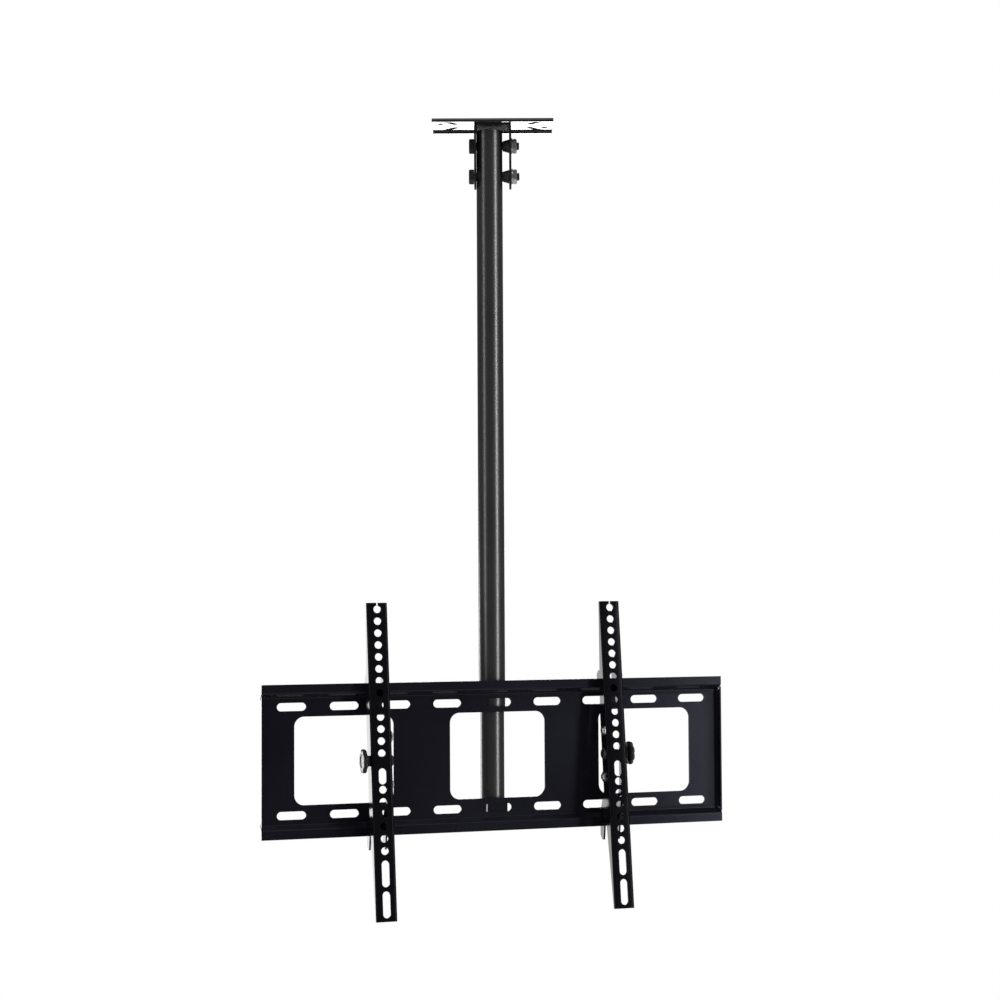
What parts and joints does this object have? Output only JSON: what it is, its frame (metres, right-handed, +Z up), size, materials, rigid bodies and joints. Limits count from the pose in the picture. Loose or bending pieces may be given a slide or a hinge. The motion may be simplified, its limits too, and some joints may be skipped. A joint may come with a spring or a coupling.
{
  "type": "ceiling tv mount",
  "caption": "Ceiling mount for a flat screen: a telescoping steel pole under a folded ceiling plate, carrying a slotted cross plate with hooked, tilting arms.",
  "frame": {"origin": "on the ceiling plane, on the axis of the pole", "axes": "+Z up, +X to the right along the screen plate, the screen on the -Y side"},
  "size_m": [0.688, 0.1617, 1.1342],
  "materials": {
    "black_paint": "satin black powder coat",
    "zinc": "bright zinc plate",
    "black_plastic": "fine-grained moulded plastic",
    "brass": "turned brass"
  },
  "bodies": {
    "ceiling_group": {"ceiling_plate": "black_paint", "ceiling_clevis": "black_paint", "ceiling_pivot_bolt": "black_paint", "ceiling_pivot_washer": "zinc", "ceiling_pivot_nut": "zinc", "ceiling_pivot_spacer": "black_paint"},
    "outer_pole_group": {"outer_pole": "black_paint", "slope_lock_bolt": "black_paint", "slope_lock_washer": "zinc", "slope_lock_nut": "zinc", "slope_lock_spacer": "black_paint", "height_lock_nuts": "black_paint", "height_lock_bolts": "zinc"},
    "inner_pole_group": {"inner_pole": "black_paint", "stop_ring": "black_paint", "stop_ring_screw": "zinc", "pole_end_cap": "black_plastic"},
    "plate_group": {"screen_plate": "black_paint", "swivel_sleeve": "black_paint", "swivel_lock_nut": "black_paint", "swivel_lock_bolt": "zinc"},
    "left_bracket_group": {"left_hook_bracket": "black_paint", "left_safety_screw": "zinc", "left_pivot_bolt": "zinc", "left_pivot_spacer": "zinc", "left_guide_screws": "zinc"},
    "left_arm_group": {"left_arm": "black_paint"},
    "left_knob_group": {"left_knob": "black_plastic", "left_knob_insert": "brass"},
    "right_bracket_group": {"right_hook_bracket": "black_paint", "right_safety_screw": "zinc", "right_pivot_bolt": "zinc", "right_pivot_spacer": "zinc", "right_guide_screws": "zinc"},
    "right_arm_group": {"right_arm": "black_paint"},
    "right_knob_group": {"right_knob": "black_plastic", "right_knob_insert": "brass"}
  },
  "joints": [
    {"name": "slope_tilt", "type": "hinge", "parent": "ceiling_group", "child": "outer_pole_group", "pos_m": [0, 0, -0.0333], "axis": [0.9542, -0.299, 0], "range_deg": [-12, 12]},
    {"name": "height_slide", "type": "slide", "parent": "outer_pole_group", "child": "inner_pole_group", "axis": [0, 0, -1], "range_m": [0, 0.4]},
    {"name": "plate_swivel", "type": "hinge", "parent": "inner_pole_group", "child": "plate_group", "pos_m": [0, 0, -0.9176], "axis": [0, 0, 1], "continuous": true},
    {"name": "left_bracket_slide", "type": "slide", "parent": "plate_group", "child": "left_bracket_group", "axis": [1, 0, 0], "range_m": [-0.116, 0.133]},
    {"name": "left_arm_tilt", "type": "hinge", "parent": "left_bracket_group", "child": "left_arm_group", "pos_m": [-0.1826, -0.061, -0.9176], "axis": [1, 0, 0], "range_deg": [-3, 17]},
    {"name": "left_knob_turn", "type": "hinge", "parent": "left_bracket_group", "child": "left_knob_group", "pos_m": [-0.2033, -0.061, -0.9176], "axis": [1, 0, 0], "continuous": true},
    {"name": "right_bracket_slide", "type": "slide", "parent": "plate_group", "child": "right_bracket_group", "axis": [1, 0, 0], "range_m": [-0.118, 0.13]},
    {"name": "right_arm_tilt", "type": "hinge", "parent": "right_bracket_group", "child": "right_arm_group", "pos_m": [0.1648, -0.061, -0.9176], "axis": [1, 0, 0], "range_deg": [-3, 17]},
    {"name": "right_knob_turn", "type": "hinge", "parent": "right_bracket_group", "child": "right_knob_group", "pos_m": [0.1855, -0.061, -0.9176], "axis": [1, 0, 0], "continuous": true}
  ]
}
